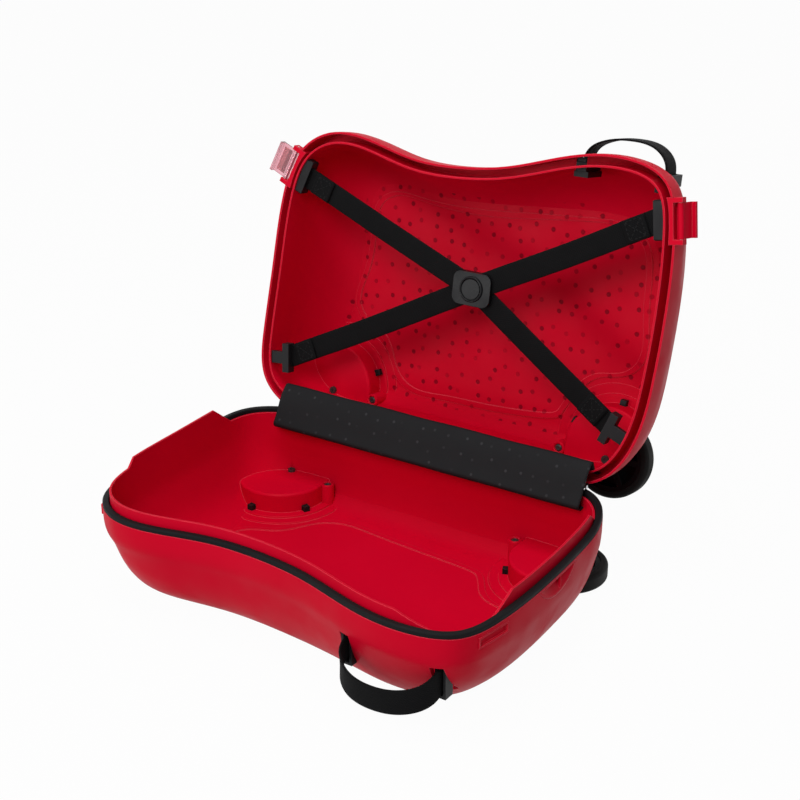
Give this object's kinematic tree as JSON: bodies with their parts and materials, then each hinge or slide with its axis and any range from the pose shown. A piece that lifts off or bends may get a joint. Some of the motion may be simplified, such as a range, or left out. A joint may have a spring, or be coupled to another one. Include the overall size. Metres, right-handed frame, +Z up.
{
  "type": "ride on suitcase",
  "caption": "Hard shell ride-on suitcase shown open: saddle-shaped halves on a hinge, wheels in the bottom corners, crossed packing straps, webbing loops and clear latch levers.",
  "frame": {"origin": "on the floor under the flat side face of the base, midway along its length, 175 mm in front of the hinge wall", "axes": "+X along the case to its right end, +Y towards the hinge and the open lid, +Z up"},
  "size_m": [0.5135, 0.5009, 0.4518],
  "materials": {
    "shell_red": "satin moulded",
    "black_plastic": "fine grained",
    "wheel_black": "satin moulded",
    "tyre": "matt",
    "gasket_rubber": "matt",
    "webbing": "woven webbing",
    "cover_fabric": "dotted sheet",
    "steel": "plain",
    "clear_lever": "clear tinted",
    "card": "plain card"
  },
  "bodies": {
    "base": {"base_axle_screws": "steel", "base_cover_rail": "black_plastic", "base_hand_strap": "webbing", "base_left_axle": "steel", "base_left_wheel_bracket": "black_plastic", "base_right_axle": "steel", "base_right_wheel_bracket": "black_plastic", "base_shell": "shell_red", "base_strap_anchors": "black_plastic", "base_strap_grommets": "black_plastic", "hinge_cover": "cover_fabric", "hinge_pin": "steel", "latch_keepers": "black_plastic", "rim_gasket": "gasket_rubber", "tow_eye": "shell_red"},
    "lid": {"buckle_body": "black_plastic", "cross_strap_lower_left": "webbing", "cross_strap_lower_right": "webbing", "cross_strap_upper_left": "webbing", "cross_strap_upper_right": "webbing", "latch_pins": "steel", "left_latch_block": "shell_red", "lid_axle_screws": "steel", "lid_cover_rail": "black_plastic", "lid_hand_strap": "webbing", "lid_left_axle": "steel", "lid_left_wheel_bracket": "black_plastic", "lid_right_axle": "steel", "lid_right_wheel_bracket": "black_plastic", "lid_shell": "shell_red", "lid_strap_anchors": "black_plastic", "lid_strap_grommets": "black_plastic", "right_latch_block": "shell_red", "strap_anchor_left": "black_plastic", "strap_anchor_right": "black_plastic", "strap_hook_left": "black_plastic", "strap_hook_right": "black_plastic"},
    "left_latch": {"left_latch_lever": "clear_lever", "left_tag_card": "card"},
    "right_latch": {"right_latch_lever": "shell_red", "right_tag_card": "card"},
    "button": {"buckle_button": "black_plastic"},
    "base_left_wheel": {"base_left_hub_cap": "wheel_black", "base_left_tyre": "tyre", "base_left_wheel_rim": "wheel_black"},
    "base_right_wheel": {"base_right_hub_cap": "wheel_black", "base_right_tyre": "tyre", "base_right_wheel_rim": "wheel_black"},
    "lid_left_wheel": {"lid_left_hub_cap": "wheel_black", "lid_left_tyre": "tyre", "lid_left_wheel_rim": "wheel_black"},
    "lid_right_wheel": {"lid_right_hub_cap": "wheel_black", "lid_right_tyre": "tyre", "lid_right_wheel_rim": "wheel_black"}
  },
  "joints": [
    {"name": "lid_hinge", "type": "hinge", "parent": "base", "child": "lid", "pos_m": [0, 0.1716, 0.1055], "axis": [1, 0, 0], "range_deg": [0, 99], "deforming": ["hinge_cover"]},
    {"name": "base_left_wheel_spin", "type": "hinge", "parent": "base", "child": "base_left_wheel", "pos_m": [-0.19303, 0.161, 0.012], "axis": [0, 0, 1], "continuous": true},
    {"name": "lid_left_wheel_spin", "type": "hinge", "parent": "lid", "child": "lid_left_wheel", "pos_m": [-0.19303, 0.26492, 0.10145], "axis": [0, 0.9877, -0.1564], "continuous": true},
    {"name": "base_right_wheel_spin", "type": "hinge", "parent": "base", "child": "base_right_wheel", "pos_m": [0.17101, 0.161, 0.012], "axis": [0, 0, 1], "continuous": true},
    {"name": "lid_right_wheel_spin", "type": "hinge", "parent": "lid", "child": "lid_right_wheel", "pos_m": [0.17101, 0.26492, 0.10145], "axis": [0, 0.9877, -0.1564], "continuous": true},
    {"name": "left_latch_pivot", "type": "hinge", "parent": "lid", "child": "left_latch", "pos_m": [-0.22719, 0.22075, 0.38131], "axis": [0.3893, 0.1441, 0.9098], "range_deg": [0, 90]},
    {"name": "right_latch_pivot", "type": "hinge", "parent": "lid", "child": "right_latch", "pos_m": [0.24871, 0.22168, 0.38715], "axis": [0.1535, -0.1546, -0.976], "range_deg": [0, 172]},
    {"name": "buckle_press", "type": "slide", "parent": "lid", "child": "button", "axis": [0, 0.9877, -0.1564], "range_m": [0, 0.0012], "stiffness_N_per_m": 400}
  ]
}
